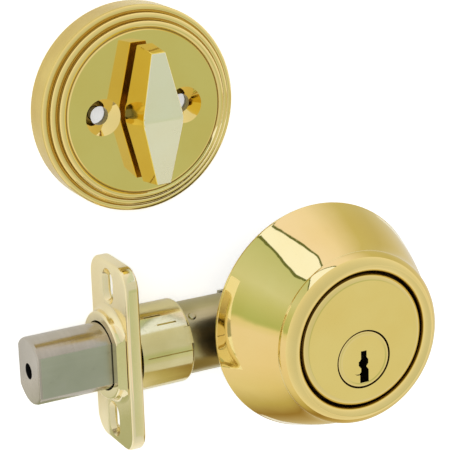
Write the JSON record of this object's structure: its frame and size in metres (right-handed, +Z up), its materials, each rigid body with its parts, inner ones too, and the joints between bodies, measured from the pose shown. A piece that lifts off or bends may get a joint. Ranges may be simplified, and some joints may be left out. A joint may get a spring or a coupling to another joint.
{
  "type": "deadbolt door lock",
  "caption": "Single-cylinder deadbolt: conical exterior cylinder with its tubular latch and thrown bolt, beside a round inside rose with a lozenge thumbturn.",
  "frame": {"origin": "on the bench, under the middle of the whole layout", "axes": "+Z up, which is also the outward axis of the exterior cylinder and of the inside unit; the bolt points along -X; the door's upward direction is +Y"},
  "size_m": [0.1215, 0.131, 0.0577],
  "materials": {
    "polished_brass": "mirror polished and lacquered",
    "pale_brass": "brass-plated steel, bright",
    "bolt_steel": "satin",
    "plated_steel": "dull bronze-grey plate",
    "cast_zinc": "as cast, yellow passivated",
    "hard_steel": "ground",
    "nickel_silver": "bright turned"
  },
  "bodies": {
    "lock_body": {"cylinder_housing": "polished_brass", "mounting_post_front": "cast_zinc", "mounting_post_rear": "cast_zinc", "drill_guard_front": "hard_steel", "drill_guard_rear": "hard_steel", "pin_cover": "pale_brass", "driver_pin_1": "nickel_silver", "driver_pin_2": "nickel_silver", "driver_pin_3": "nickel_silver", "driver_pin_4": "nickel_silver", "driver_pin_5": "nickel_silver", "pin_spring_1": "nickel_silver", "pin_spring_2": "nickel_silver", "pin_spring_3": "nickel_silver", "pin_spring_4": "nickel_silver", "pin_spring_5": "nickel_silver", "faceplate": "pale_brass", "bolt_guide": "pale_brass", "latch_sleeve": "pale_brass", "latch_tube": "plated_steel", "tail_plate_outer": "plated_steel", "tail_plate_inner": "plated_steel", "tail_spacer": "plated_steel", "inside_rose": "polished_brass", "mounting_plate": "plated_steel"},
    "key_plug": {"cylinder_plug": "polished_brass", "plug_retainer": "cast_zinc", "torque_blade": "hard_steel", "bottom_pin_1": "nickel_silver", "bottom_pin_2": "nickel_silver", "bottom_pin_3": "nickel_silver", "bottom_pin_4": "nickel_silver", "bottom_pin_5": "nickel_silver"},
    "drive_crank": {"drive_crank": "cast_zinc", "crank_pin": "hard_steel"},
    "bolt": {"bolt": "bolt_steel", "bolt_hardened_pin": "hard_steel", "bolt_drive_bar": "plated_steel", "bolt_rivet": "plated_steel"},
    "thumbturn": {"thumbturn": "polished_brass", "thumbturn_spindle": "hard_steel", "spring_washer": "nickel_silver", "retaining_clip": "hard_steel"},
    "collar": {"exterior_collar": "polished_brass"}
  },
  "joints": [
    {"name": "crank_turn", "type": "hinge", "parent": "lock_body", "child": "drive_crank", "pos_m": [0.02585, -0.03635, 0.0127], "axis": [0, 0, 1], "range_deg": [0, 90]},
    {"name": "bolt_slide", "type": "slide", "parent": "lock_body", "child": "bolt", "axis": [1, 0, 0], "range_m": [0, 0.0254]},
    {"name": "key_turn", "type": "hinge", "parent": "lock_body", "child": "key_plug", "pos_m": [0.02585, -0.03635, 0.0302], "axis": [0, 0, 1], "range_deg": [0, 90]},
    {"name": "thumbturn_turn", "type": "hinge", "parent": "lock_body", "child": "thumbturn", "pos_m": [-0.01965, 0.03505, 0], "axis": [0, 0, 1], "range_deg": [-90, 0]},
    {"name": "collar_spin", "type": "hinge", "parent": "lock_body", "child": "collar", "pos_m": [0.02585, -0.03065, 0.0302], "axis": [0, 0, 1], "continuous": true}
  ],
  "couplings": [
    {"joint": "crank_turn", "follows": "bolt_slide", "rad_per_m": 61.84},
    {"joint": "key_turn", "follows": "bolt_slide", "rad_per_m": 61.84},
    {"joint": "thumbturn_turn", "follows": "bolt_slide", "rad_per_m": -61.84}
  ]
}
